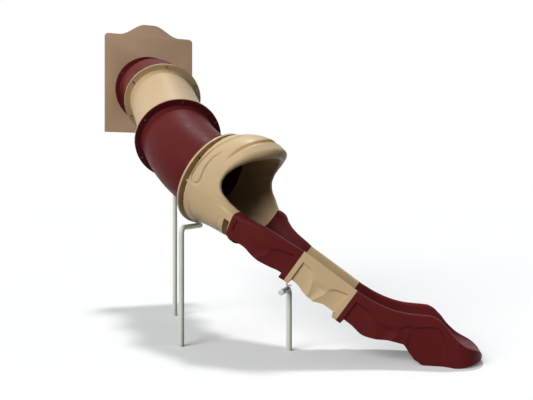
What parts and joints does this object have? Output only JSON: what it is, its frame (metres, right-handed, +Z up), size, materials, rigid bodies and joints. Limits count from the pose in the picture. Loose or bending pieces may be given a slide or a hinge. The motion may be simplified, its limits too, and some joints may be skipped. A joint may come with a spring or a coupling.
{
  "type": "tube slide",
  "caption": "Left-turning playground tube slide: entry panel, round tube sections, a hooded exit, open chutes and bent pipe posts.",
  "frame": {"origin": "middle of the slide's footprint on the ground", "axes": "+X out of the entry panel's front face, +Y to the left of someone who slides out, +Z up"},
  "size_m": [4.3636, 2.788, 3.722],
  "materials": {
    "maroon_plastic": "rotationally moulded plastic, soft gloss",
    "beige_plastic": "rotationally moulded plastic, soft gloss",
    "panel_board": "plastic board, fine matt grain",
    "pipe_coat": "powder coated steel pipe, satin",
    "zinc_steel": "zinc plated",
    "cap_plastic": "moulded plastic"
  },
  "bodies": {
    "root": {"upper_tube_bend": "maroon_plastic", "lower_tube_bend": "maroon_plastic", "upper_chute": "maroon_plastic", "exit_chute": "maroon_plastic", "straight_tube": "beige_plastic", "exit_hood": "beige_plastic", "middle_chute": "beige_plastic", "entry_panel": "panel_board", "rear_post": "pipe_coat", "rear_post_cap": "cap_plastic", "rear_bracket": "pipe_coat", "front_post": "pipe_coat", "front_post_cap": "cap_plastic", "front_bracket": "pipe_coat", "short_post": "pipe_coat", "short_post_cap": "cap_plastic", "short_bracket": "pipe_coat", "entry_bolt_1": "zinc_steel", "entry_bolt_2": "zinc_steel", "entry_bolt_3": "zinc_steel", "entry_bolt_4": "zinc_steel", "entry_bolt_5": "zinc_steel", "entry_bolt_6": "zinc_steel", "upper_bolt_1": "zinc_steel", "upper_bolt_2": "zinc_steel", "upper_bolt_3": "zinc_steel", "upper_bolt_4": "zinc_steel", "upper_bolt_5": "zinc_steel", "upper_bolt_6": "zinc_steel", "lower_bolt_1": "zinc_steel", "lower_bolt_2": "zinc_steel", "lower_bolt_3": "zinc_steel", "lower_bolt_4": "zinc_steel", "lower_bolt_5": "zinc_steel", "lower_bolt_6": "zinc_steel", "hood_bolt_1": "zinc_steel", "hood_bolt_2": "zinc_steel", "hood_bolt_3": "zinc_steel", "hood_bolt_4": "zinc_steel", "hood_bolt_5": "zinc_steel", "hood_bolt_6": "zinc_steel", "chute_a_bolt_1": "zinc_steel", "chute_a_bolt_2": "zinc_steel", "chute_a_bolt_3": "zinc_steel", "chute_a_bolt_4": "zinc_steel", "chute_b_bolt_1": "zinc_steel", "chute_b_bolt_2": "zinc_steel", "chute_b_bolt_3": "zinc_steel", "chute_b_bolt_4": "zinc_steel", "chute_b_bolt_5": "zinc_steel", "chute_c_bolt_1": "zinc_steel", "chute_c_bolt_2": "zinc_steel", "chute_c_bolt_3": "zinc_steel", "chute_c_bolt_4": "zinc_steel", "chute_c_bolt_5": "zinc_steel"}
  },
  "joints": []
}
